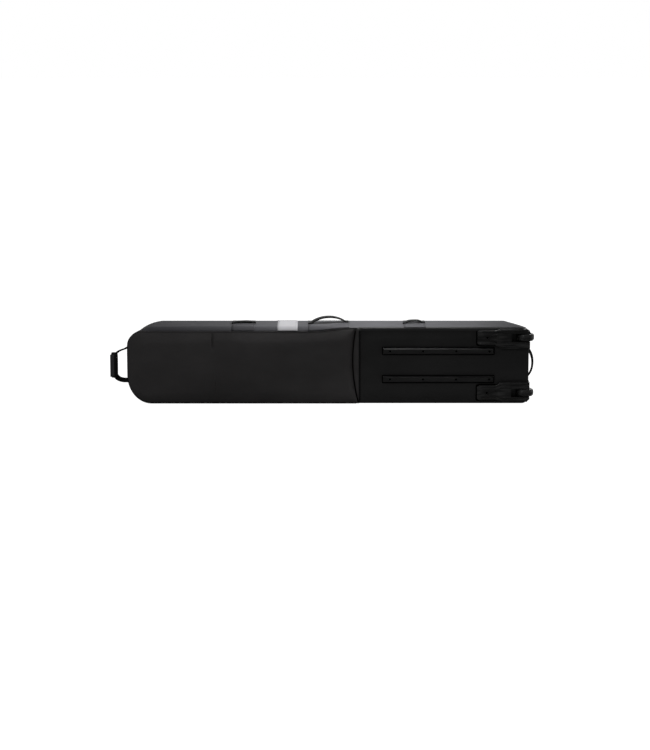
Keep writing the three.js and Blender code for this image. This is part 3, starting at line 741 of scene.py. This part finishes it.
def tray():
    """The coated half of the underside: it wraps the front edge and dips round the rails and housings."""
    mouldings = [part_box(f"{side}_{part}") for side in SETS for part in ("skid_rail", "wheel_housing")]
    corner, bend, power = WHEEL_END["corner"], BAND_Y - UNDER_Y - 0.5 * MM, TRAY_SHAPE["bend_power"]
    columns = [mix(SEAM_X + 1 * MM, END_X - corner, i / 92) for i in range(93)]
    columns += [END_X - corner + corner * math.sin(math.pi / 2 * i / 10) for i in range(1, 11)]
    turns = 7
    heights = [bend * (1 - math.cos(math.pi / 2 * i / turns)) for i in range(turns)]
    grids = []
    for x in columns:
        low, high = half_span(x, -1, END_X, 0.1, 0, corner, 0, WIDTH)
        levels = [low + h for h in heights]
        levels += [mix(low + bend, high - bend, i / 44) for i in range(45)]
        levels += [high - h for h in reversed(heights)]
        column = []
        for z in levels:
            ex, ez = END_X - x, min(z, WIDTH - z)
            inner = corner - math.hypot(corner - ex, corner - ez) if max(ex, ez) < corner else min(ex, ez)
            inner = max(0.0, inner)
            back = bend * (1 - (1 - (1 - inner / bend) ** power) ** (1 / power)) if inner < bend else 0.0
            away = min(math.hypot(max(a.x - x, x - b.x, 0), max(a.z - z, z - b.z, 0)) for a, b in mouldings)
            free = min(away, max(0.0, inner - bend), x - SEAM_X)
            puff = TRAY_SHAPE["puff"] * ease(free / (36 * MM))
            ripple = uneven(x * 9, z * 14, 8) * 1.3 * MM * ease(free / (20 * MM))
            dip = TRAY_SHAPE["dip"] * math.exp(-((away / (5 * MM)) ** 2)) if inner > bend else 0.0
            column.append(Vector((x, UNDER_Y + back - puff - ripple + dip, z)))
        grids.append(column)
    sheet = grid("underside_tray_cover", grids, TRAY, LINING)
    open_wells(sheet)
    thicken(sheet, SHEET, lined=True)
    return sheet


def open_wells(sheet):
    """Takes out the cloth behind the mouths of the wheel housings."""
    middles = [axle(side)[0] for side in SETS]
    shape = bmesh.new()
    shape.from_mesh(sheet.data)
    gone = []
    for face in shape.faces:
        place = face.calc_center_median()
        if place.x > WELL_START and min(abs(place.z - middle) for middle in middles) < WELL_OPENING:
            gone.append(face)
    bmesh.ops.delete(shape, geom=gone, context="FACES")
    shape.to_mesh(sheet.data)
    shape.free()


def lid():
    x0, x1 = lid_low.x, lid_high.x
    length, rise, radius = LID_SHAPE["length"], LID_SHAPE["rise"], LID_SHAPE["corner"]
    columns = eased_columns(x0, x1, length, 150, radius)
    rows_in = 36
    border = 14 * MM
    grids, pinned = [], []
    for i, x in enumerate(columns):
        low, high = half_span(x, x0, x1, length, rise, radius, lid_low.z, lid_high.z)
        column = []
        for j in range(rows_in + 1):
            z = mix(low, high, j / rows_in)
            near = min(z - low, high - z, x - x0, x1 - x)
            crown = 4 * MM * ease((near - border) / (26 * MM))
            ripple = uneven(x * 5, z * 9, 21) * 1.2 * MM * ease((near - border) / (40 * MM))
            column.append(Vector((x, LID_Y + crown + ripple, z)))
            if near < border or i in (0, len(columns) - 1):
                pinned.append(i * (rows_in + 1) + j)
        grids.append(column)
    sheet = grid("lid_cover", grids, LID_CLOTH, LINING)
    sheet.data.flip_normals()
    drape(sheet, pinned, (0, 9.8, 0), 0.0025, 5 * MM)
    thicken(sheet, 8 * MM, lined=True)
    return sheet


ROOT_WALLS = ("handle_side_wall", "resting_side_wall", "nose_wall", "wheel_end_wall")
band, panel_seam = side_band()
cut_wells(band)
dress(band, "root", "side_fabric", *ROOT_WALLS)
dress(underside_panel(panel_seam), "root", "shell_fabric", "underside_panel")
dress(tray(), "root", "tray_fabric", "underside_tray")
dress(lid(), "lid", "lid_fabric", "lid_panel")


# ---- piping and seams, and painted shadow strips
def tray_piping():
    """A cord in the seam where the wrapped tray meets the handle side, and round to the wheel end."""
    ring = [k for k, (x, z) in enumerate(base_ring) if x > SEAM_X + 2 * MM and z > WIDTH - 30 * MM]
    order = [k for k in ring if k >= RUN][:-2] + [k for k in ring if k < RUN]
    path = []
    for k in order:
        place = Vector((base_ring[k][0], BAND_Y, base_ring[k][1]))
        path.append(place - outward(base_ring, k) * 0.6 * MM)
    cord = sweep("tray_piping", path, lambda i: outward(base_ring, order[i]), round_profile(1.5 * MM, 8),
                 BINDING)
    dress(cord, "root", "tray_fabric")


def tray_top_roll():
    """The wide bound roll along the tray's front edge on the handle side."""
    y, z = UNDER_Y - 1 * MM, WIDTH - 7 * MM
    path = straight((SEAM_X + 3 * MM, y, z), (END_X - 24 * MM, y, z), 90)
    edge = sweep("tray_top_roll", path, FRONT, rounded_profile(12.5 * MM, 3.4 * MM, 18, 0.5), ROLL)
    dress(edge, "root", "tray_fabric")


def panel_piping():
    """The cord between the plain panel and the side band, from the tray seam round the nose and back."""
    tip = RUN + ARC
    # one cord in two tones: the lower half, along the bag's bottom edge, takes the near-black binding as a
    # painted shade line; the upper half takes the panel's own cloth
    halves = (("upper", range(tip + 1), SHELL, 1.4 * MM),
              ("lower", range(tip, 2 * tip + FLAT), BINDING, 1.9 * MM))
    for name, stations, material, radius in halves:
        places = [panel_seam[k] for k in stations]
        path = [Vector((x, UNDER_Y + 1.6 * MM - radius, z)) for x, z in places if x < SEAM_X - 1 * MM]
        cord = sweep(f"panel_piping_{name}", path, FRONT, round_profile(radius, 8), material)
        dress(cord, "root", "side_fabric")


def panel_end_shadow_cord():
    """A cord along the plain panel's curved edge, coloured near-black as painted shadow where the padded
    panel bulges over the seam.
    """
    heights = [mix(5 * MM, WIDTH - 14 * MM, i / 60) for i in range(61)]
    path = [Vector((seam_line(z), UNDER_Y - 0.2 * MM, z)) for z in heights]
    cord = sweep("panel_end_shadow_cord", path, FRONT, round_profile(1.9 * MM, 8), SHADOW_BLACK)
    dress(cord, "root", "shell_fabric")


def lay_rail_shadows():
    """A thin near-black strip under each skid rail, just wider than it, painted as the shadow lines above and
    below the rail.
    """
    for side in SETS:
        low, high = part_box(f"{side}_skid_rail")
        y, z = UNDER_Y - 0.6 * MM, (low.z + high.z) / 2
        path = straight((low.x - 2.5 * MM, y, z), (high.x + 2.5 * MM, y, z), 40)
        profile = rounded_profile(high.z - low.z + 5.5 * MM, 2.4 * MM, 18, 0.4)
        strip = sweep(f"{side}_rail_shadow_strip", path, FRONT, profile, SHADOW_BLACK)
        dress(strip, "root", "plastic")


def cross_seam():
    """The bound edge where the tray is sewn to the plain panel."""
    x, y = SEAM_X + 3 * MM, UNDER_Y - 0.8 * MM
    path = straight((x, y, 8 * MM), (x, y, WIDTH - 8 * MM), 44)
    edge = sweep("tray_seam_binding", path, FRONT, rounded_profile(8 * MM, 2.4 * MM), BINDING)
    dress(edge, "root", "tray_fabric")
    run = [(p + Vector((2 * MM, -1.2 * MM, 0)), FRONT) for p in path]
    stitches("tray_seam_stitching", [run], "root")


tray_piping()
tray_top_roll()
panel_piping()
panel_end_shadow_cord()
lay_rail_shadows()
cross_seam()


# ---- handle side: patches and label
def on_handle_side(x, y, lift):
    """A point on the handle side, which rolls down to the seam at the front, and the direction out of it."""
    depth, _ = roll(x, WIDTH, 1.0)
    front = UNDER_Y + depth
    if y >= front:
        return Vector((x, y, WIDTH + swell(x, y, 1.0) + lift)), UP
    low, high = 0.0, 1.0
    for _ in range(16):
        t = (low + high) / 2
        if UNDER_Y + roll(x, WIDTH, t)[0] < y:
            low = t
        else:
            high = t
    ahead, behind = roll(x, WIDTH, max(0.0, t - 0.05)), roll(x, WIDTH, min(1.0, t + 0.05))
    out = Vector((0, -(ahead[1] - behind[1]), behind[0] - ahead[0])).normalized()
    return Vector((x, y, WIDTH - roll(x, WIDTH, t)[1])) + out * lift, out


def patch(name, node, material, slot, thread):
    """A piece of cloth sewn across the handle side down to the front seam, its edges turned under."""
    low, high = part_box(node)
    front = UNDER_Y + 1.5 * MM
    nx, ny = max(8, int((high.x - low.x) / (6 * MM))), 34
    grids = []
    for j in range(ny + 1):
        row = []
        for i in range(nx + 1):
            x, y = mix(low.x, high.x, i / nx), mix(front, high.y, (j / ny) ** 1.4)
            near = min(x - low.x, high.x - x, high.y - y)
            lift = 1.3 * MM + 0.8 * MM * ease(near / (5 * MM)) + 0.3 * MM * uneven(x * 60, y * 60, 5)
            row.append(on_handle_side(x, y, lift)[0])
        grids.append(row)
    sheet = grid(name, grids, material)
    sheet.data.flip_normals()
    thicken(sheet, 1.4 * MM)
    dress(sheet, "root", slot, node)
    runs = []
    for edge in (3 * MM, 7 * MM):
        for x in (low.x + edge, high.x - edge):
            runs.append([on_handle_side(x, mix(front, high.y - edge, i / 40), 2.3 * MM) for i in range(41)])
        runs.append([on_handle_side(mix(low.x + edge, high.x - edge, i / 16), high.y - edge, 2.3 * MM)
                     for i in range(17)])
    stitches(f"{name}_stitching", runs, "root", thread, radius=0.6 * MM)


for place in ("carry", "nose_side", "wheel_side"):
    patch(f"{place}_patch", f"{place}_handle_patch", PATCH, "side_fabric", DARK_THREAD)
patch("blank_label", "label_patch", LABEL, "label", PALE_THREAD)


# ---- handles
def box_cross(centre, along, across, out, length, width):
    """A sewn box with a cross in it, as runs of stitches."""
    corners = [centre + along * (a * length / 2) + across * (b * width / 2)
               for a, b in ((-1, -1), (1, -1), (1, 1), (-1, 1))]
    order = (0, 1, 2, 3, 0, 2), (1, 3)
    return [[(corners[i], out) for i in run] for run in order]


def joined_strap(name, path, face, width, thickness, node, scale=None):
    """A webbing handle in place of its CAD strap; it is attached to no body."""
    strap = sweep(name, path, face, rounded_profile(width, thickness), WEBBING, scale)
    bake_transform(strap)
    return dress(strap, None, "webbing", node)


def top_handle(name, node, x_range, y_range, rise, width, thickness, fullness):
    """A handle on the handle side: an arch between two sewn ends. A fuller arch has steeper ends."""
    x0, x1 = x_range
    base = WIDTH + 4.6 * MM
    foot = 11 * MM
    points = [Vector((x0 - foot, y_range[0], base)), Vector((x0 - foot * 0.3, y_range[0], base))]
    for i in range(13):
        u = -1 + i / 6
        height = rise * (1 - abs(u) ** fullness)
        share = (u + 1) / 2
        points.append(Vector((mix(x0, x1, share), mix(*y_range, share), base + 0.4 * MM + height)))
    points += [Vector((x1 + foot * 0.3, y_range[1], base)), Vector((x1 + foot, y_range[1], base))]
    path = smooth_path(points, 4)
    joined_strap(name, path, UP, width, thickness, node)
    runs = []
    for x, y in ((x0 - foot * 0.5, y_range[0]), (x1 + foot * 0.5, y_range[1])):
        centre = Vector((x, y, base + thickness / 2))
        runs += box_cross(centre, Vector((1, 0, 0)), BACK, UP, foot * 0.7, width * 0.7)
    stitches(f"{name}_stitching", runs, "root", pitch=3.2 * MM, length=2.3 * MM)
    return path


carry_path = top_handle("carry_strap", "carry_handle_strap",
                        (-66 * MM, 76 * MM), (0, 28 * MM), 22 * MM, 33 * MM, 6.5 * MM, 2.2)
grip_path = [p for p in carry_path if -33 * MM < p.x < 43 * MM]
grip = sweep("carry_grip", grip_path, UP, rounded_profile(30 * MM, 8.5 * MM, 20, 0.7), GRIP,
             tapered(0.12, 0.4, 8))
dress(grip, "carry_handle", "webbing", "carry_handle_grip")
top_handle("nose_side_strap", "nose_side_handle",
           (-380 * MM, -304 * MM), (8 * MM, 18 * MM), 3 * MM, 30 * MM, 6.5 * MM, 3.0)
top_handle("wheel_side_strap", "wheel_side_handle",
           (322 * MM, 391 * MM), (8 * MM, 18 * MM), 7 * MM, 30 * MM, 6.5 * MM, 3.0)


def nose_handle():
    """A loop off the nose. Its strap is twisted, so that the lower half shows more of its face."""
    low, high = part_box("nose_handle_strap")
    grip_low, grip_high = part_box("nose_handle_grip")
    y = (low.y + high.y) / 2
    outer = low.x + 2 * MM
    points = [(-814, 227), (-821, 225), (-830, 220), (-844, 215), (-858, 208), (-868, 197)]
    points += [(outer / MM, z) for z in (180, 150, 124)]
    points += [(-866, 105), (-855, 95), (-840, 90), (-826, 89), (-815, 89)]
    path = smooth_path([Vector((x * MM, y, z * MM)) for x, z in points])
    middle = (low.z + high.z) / 2

    def face(i):
        share = max(-1.0, min(1.0, (path[i].z - middle) / (58 * MM)))
        return Vector((-1 + abs(share) ** 3, 0.22 * abs(share) if share > 0 else 0.5 * abs(share), share**3))

    joined_strap("nose_strap", path, face, 28 * MM, 6 * MM, "nose_handle_strap")
    centre_x = (grip_low.x + grip_high.x) / 2 + 2.4 * MM
    top = grip_high.z + 6 * MM
    path = straight((centre_x, y, grip_low.z), (centre_x, y, top), 16)
    pad = sweep("nose_grip", path, Vector((-1, 0, 0)), rounded_profile(33 * MM, 29 * MM, 28, 0.6), GRIP,
                tapered(0.18, 0.18, 8))
    dress(pad, "nose_handle", "webbing", "nose_handle_grip")
    flap_x, flap_y = grip_low.x + 9.5 * MM, grip_low.y - 0.2 * MM
    flap = straight((flap_x, flap_y, grip_low.z + 5 * MM), (flap_x, flap_y, top - 5 * MM), 12)
    side = sweep("nose_grip_flap", flap, FRONT, rounded_profile(17 * MM, 1.8 * MM), FLAP)
    dress(side, "nose_handle", "webbing")
    run = [(p + Vector((7 * MM, -1.1 * MM, 0)), FRONT) for p in flap]
    stitches("nose_grip_stitching", [run], "nose_handle")


def end_handle():
    low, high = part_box("wheel_end_handle")
    y = (low.y + high.y) / 2
    wall = wheel_end(y)
    z0, z1 = low.z - 15 * MM, high.z + 23 * MM
    places = [(wall + 1.4 * MM, z0), (wall + 2.2 * MM, z0 + 9 * MM)]
    places += [(wall + 2 * MM + (high.x - wall - 3.4 * MM) * s, mix(z0, z1, t))
               for t, s in ((0.2, 0.62), (0.34, 0.91), (0.5, 1.0), (0.66, 0.91), (0.8, 0.62))]
    places += [(wall + 2.2 * MM, z1 - 9 * MM), (wall + 1.4 * MM, z1)]
    path = smooth_path([Vector((x, y, z)) for x, z in places])
    joined_strap("end_strap", path, Vector((1, -0.3, 0)), 24 * MM, 6 * MM,
                 "wheel_end_handle")


nose_handle()
end_handle()


# ---- zipper
def lid_edge(margin):
    """Stations of the lid's edge on its three zipped sides, from the handle side at the wheel end round."""
    ring = lid_outline(margin)
    top = lid_high.z - 16 * MM
    order = ring[RUN + ARC // 4 :]
    return [(x, z) for x, z in order if z < top]


def zipper_teeth(name, margin, body):
    """Moulded teeth along one side of the zip."""
    edge = [Vector((x, LID_Y + 2.3 * MM, z)) for x, z in lid_edge(margin)]
    inner = lid_edge(margin - 2 * MM)
    pitch, length, width, height = 2.6 * MM, 1.5 * MM, 3.0 * MM, 1.7 * MM
    points, faces, travelled = [], [], 0.0
    for i in range(len(edge) - 1):
        step = edge[i + 1] - edge[i]
        along = step.normalized()
        across = Vector((edge[i].x - inner[i][0], 0, edge[i].z - inner[i][1])).normalized()
        while travelled < step.length:
            centre = edge[i] + along * travelled
            base = len(points)
            for dy, shrink in ((-height / 2, 1.0), (height / 2, 0.7)):
                for a, b in ((-1, -1), (1, -1), (1, 1), (-1, 1)):
                    place = centre + along * (a * length / 2 * shrink) + across * (b * width / 2 * shrink)
                    points.append(place + Vector((0, dy, 0)))
            faces += [(base + 3, base + 2, base + 1, base), (base + 4, base + 5, base + 6, base + 7)]
            for k in range(4):
                m = (k + 1) % 4
                faces.append((base + k, base + m, base + 4 + m, base + 4 + k))
            travelled += pitch
        travelled -= step.length
    teeth = piece(name, points, faces, PLASTIC, smooth=False)
    turn_out(teeth)
    dress(teeth, body, "zipper")


def zipper_stitching(name, margins, body):
    """Two rows of thread along one tape of the zip."""
    runs = [[(Vector((x, LID_Y + 2.1 * MM, z)), BACK) for x, z in lid_edge(margin)] for margin in margins]
    stitches(f"zipper_stitching_{name}", runs, body)


zipper_teeth("zipper_teeth_shell", 2.2 * MM, "root")
zipper_teeth("zipper_teeth_lid", -2.2 * MM, "lid")
zipper_stitching("lid", (-10.5 * MM, -7 * MM), "lid")
zipper_stitching("shell", (9.5 * MM, 13.5 * MM), "root")


def lid_hinge_cloth():
    """The strip of cloth that joins the lid to the handle side."""
    x0, x1 = lid_low.x + 110 * MM, lid_high.x - 24 * MM
    rows = []
    for j in range(13):
        z = mix(WIDTH - 7 * MM, lid_high.z - 11 * MM, j / 12)
        y = LID_Y + (1.3 * MM + 0.7 * MM * math.sin(math.pi * j / 12))
        rows.append(straight((x0, y, z), (x1, y, z), 120))
    strip = grid("lid_hinge_cloth", rows, BINDING)
    strip.data.flip_normals()
    thicken(strip, 1.2 * MM)
    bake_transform(strip)
    dress(strip, None, "lid_fabric")


lid_hinge_cloth()


# ---- tie-down straps inside
def inner_strap(node):
    low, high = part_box(node)
    x, y = (low.x + high.x) / 2, (low.y + high.y) / 2
    path = straight((x, y, low.z), (x, y, high.z), 24)
    strap = sweep(f"{node}_webbing", path, BACK, rounded_profile(high.x - low.x, high.y - low.y), WEBBING)
    dress(strap, "root", "webbing", node)


for end in ("nose", "wheel"):
    inner_strap(f"{end}_short_strap")
    inner_strap(f"{end}_long_strap")


# ---- wheels
def lathe(name, profile, centre, material, steps=96):
    """A closed ring turned about Z from (radius, height) points."""
    count = len(profile)
    points, faces = [], []
    for s in range(steps):
        angle = 2 * math.pi * s / steps
        points += [centre + Vector((r * math.cos(angle), r * math.sin(angle), h)) for r, h in profile]
        for k in range(count):
            a, b = s * count + k, s * count + (k + 1) % count
            shift = (s + 1) % steps * count - s * count
            faces.append((a, b, b + shift, a + shift))
    ring = piece(name, points, faces, material)
    turn_out(ring)
    return ring


def wheel_tyre(side):
    """A urethane tyre with a crowned tread, two grooves and a raised rib on each face."""
    low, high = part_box(f"{side}_tyre")
    centre = (low + high) / 2
    radius, half = (high.x - low.x) / 2, (high.z - low.z) / 2
    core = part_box(f"{side}_wheel_hub")
    inner = (core[1].x - core[0].x) / 2 + 0.3 * MM
    tread = []
    for i in range(33):
        t = -1 + i / 16
        groove = 0.9 * MM * math.exp(-(((abs(t) - 0.36) / 0.05) ** 2))
        tread.append((radius - 4.2 * MM * abs(t) ** 3.4 - groove, half * 0.96 * t))
    flat = half - 1 * MM
    rib = [(radius - 6.5 * MM, half), (radius - 8 * MM, half), (radius - 9 * MM, flat), (inner, flat)]
    profile = tread + rib + [(r, -h) for r, h in reversed(rib)]
    dress(lathe(f"{side}_tyre_tread", profile, centre, URETHANE), f"{side}_wheel", "tyre", f"{side}_tyre")


for side in SETS:
    wheel_tyre(side)


# ---- wheel housings: raised ridges on the mouldings
def housing_ridges(side, inward):
    """Ridges that run down the tongue and flare out with the housing, and a near-black rim round the tongue,
    painted as the shadow in the gap between housing and tray.
    """
    low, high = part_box(f"{side}_wheel_housing")
    middle, _ = axle(side)
    tongue, plate = low.y + 5 * MM, low.y
    flare = low.x + 86 * MM
    # offsets towards the bag's edge on the tongue and on the housing, then width and height of the ridge
    ridges = [(25, 30.5, 9, 5.5, 8), (9, 21, 5, 3.2, 50), (-9, -21, 5, 3.2, 50), (-25, -37, 9, 5.5, 8)]
    for k, (near, far, width, height, start) in enumerate(ridges):
        z0, z1 = middle - inward * near * MM, middle - inward * far * MM
        points = [Vector((low.x + start * MM, tongue, z0)), Vector((flare - 22 * MM, tongue, z0)),
                  Vector((flare - 6 * MM, mix(tongue, plate, 0.6), mix(z0, z1, 0.4))),
                  Vector((flare + 14 * MM, plate, mix(z0, z1, 0.95))),
                  Vector((flare + 50 * MM, plate, z1)), Vector((high.x - 12 * MM, plate + 0.5 * MM, z1))]
        ridge = sweep(f"{side}_housing_ridge_{k + 1}", smooth_path(points), FRONT,
                      rounded_profile(width * MM, height * MM, 14, 0.9), PLASTIC, tapered(0.7, 0.7, 10))
        dress(ridge, "root", "plastic")
    # painted shadow: a near-black rim round the tongue, lying on the tray
    half, end = 31 * MM, low.x - 1 * MM
    rim = [(flare - 4 * MM, half), (low.x + 9 * MM, half), (end, half - 8 * MM), (end, 0)]
    rim += [(x, -z) for x, z in reversed(rim[:-1])]
    path = smooth_path([Vector((x, UNDER_Y - 0.4 * MM, middle + z + math.copysign(1 * MM, z)))
                        for x, z in rim])
    rim_shade = sweep(f"{side}_housing_shade_rim", path, FRONT, rounded_profile(7 * MM, 2.2 * MM), SHADOW_BLACK)
    dress(rim_shade, "root", "plastic")


housing_ridges("upper", -1)
housing_ridges("lower", 1)


# ---- CAD pieces that stay: edges and finishes
FINISHES = {
    "zipper_tape": TAPE,
    "zipper_slider": BLACK_STEEL,
    "zipper_pull": PLASTIC,
    "stiffener_board": BOARD,
    "rail_backing": BOARD,
    "skid_rail": RAIL,
    "screw": SCREW_STEEL,
    "wheel_housing": PLASTIC,
    "wheel_hub": HUB,
    "bearing": STEEL,
    "axle": STEEL,
    "buckle": PLASTIC,
}
EDGES = {"skid_rail": 1.4, "wheel_housing": 1.6, "buckle": 0.8, "zipper_pull": 0.5, "zipper_slider": 0.6,
         "wheel_hub": 0.4, "screw": 0.4}


def keyed(table, name):
    return next((value for key, value in table.items() if key in name), None)


for name, obj in nodes.items():
    material = keyed(FINISHES, name)
    if material is None:
        continue
    obj.data.materials.clear()
    obj.data.materials.append(material)
    width = keyed(EDGES, name)
    if width:
        edge = obj.modifiers.new("Bevel", "BEVEL")
        edge.width = width * MM
        edge.segments = 3
        edge.limit_method = "ANGLE"
        edge.angle_limit = math.radians(40)


# ---- stage
def pale_floor():
    """A floor that looks white to the camera and lights the bag like grey paper."""
    half = 14.0
    corners = [(-half, -half, 0), (half, -half, 0), (half, half, 0), (-half, half, 0)]
    floor = piece("floor", corners, [(0, 1, 2, 3)])
    g = Graph("floor_paper")
    glow = g.math("MULTIPLY", g.add("LightPath").outputs["Is Camera Ray"], 1.02)
    paper = g.finish(Base_Color=(0.2, 0.2, 0.2, 1), Roughness=0.9, Specular_IOR_Level=0.0,
                     Emission_Color=(1, 1, 1, 1), Emission_Strength=glow)
    floor.data.materials.append(paper)
    floor.location.z = -0.6 * MM


def white_world():
    """White to the camera, softer as light."""
    world = bpy.data.worlds.new("studio")
    bpy.context.scene.world = world
    world.use_nodes = True
    tree = world.node_tree
    background = tree.nodes["Background"]
    seen = tree.nodes.new("ShaderNodeLightPath")
    strength = tree.nodes.new("ShaderNodeMapRange")
    strength.inputs["To Min"].default_value = 0.25
    strength.inputs["To Max"].default_value = 1.0
    tree.links.new(seen.outputs["Is Camera Ray"], strength.inputs["Value"])
    tree.links.new(strength.outputs[0], background.inputs["Strength"])
    background.inputs["Color"].default_value = (1, 1, 1, 1)


def area_light(name, place, target, size, power):
    data = bpy.data.lights.new(name, "AREA")
    data.shape = "RECTANGLE"
    data.size, data.size_y = size
    data.energy = power
    lamp = bpy.data.objects.new(name, data)
    bpy.context.scene.collection.objects.link(lamp)
    lamp.location = place
    lamp.rotation_euler = (Vector(target) - Vector(place)).to_track_quat("-Z", "Y").to_euler()


def camera():
    """A long lens, a little over 11 degrees above the floor, square to the underside."""
    data = bpy.data.cameras.new("camera")
    data.lens = 135
    data.clip_end = 100
    cam = bpy.data.objects.new("camera", data)
    bpy.context.scene.collection.objects.link(cam)
    view_height = 3.094
    distance = view_height * data.lens / data.sensor_width
    target = Vector((-8.8 * MM, 0, 101.8 * MM))
    elevation = math.radians(11.4)
    back = Vector((0, -math.cos(elevation), math.sin(elevation)))
    cam.location = target + back * distance
    cam.rotation_euler = (-back).to_track_quat("-Z", "Y").to_euler()
    bpy.context.scene.camera = cam


pale_floor()
white_world()
area_light("top_light", (0.22, 0.06, 1.0), (0.22, 0.04, 0.3), (0.5, 0.42), 13.8)
area_light("front_light", (-1.9, -2.5, 2.5), (-0.4, 0, 0.15), (2.0, 1.2), 10)
area_light("back_light", (0.5, 3.4, 0.8), (0, 0, 0.15), (2.4, 1.0), 26)
area_light("end_light", (3.4, 0.4, 0.35), (0.8, 0, 0.15), (1.2, 0.6), 8)
camera()
bpy.context.scene.view_settings.view_transform = "Standard"
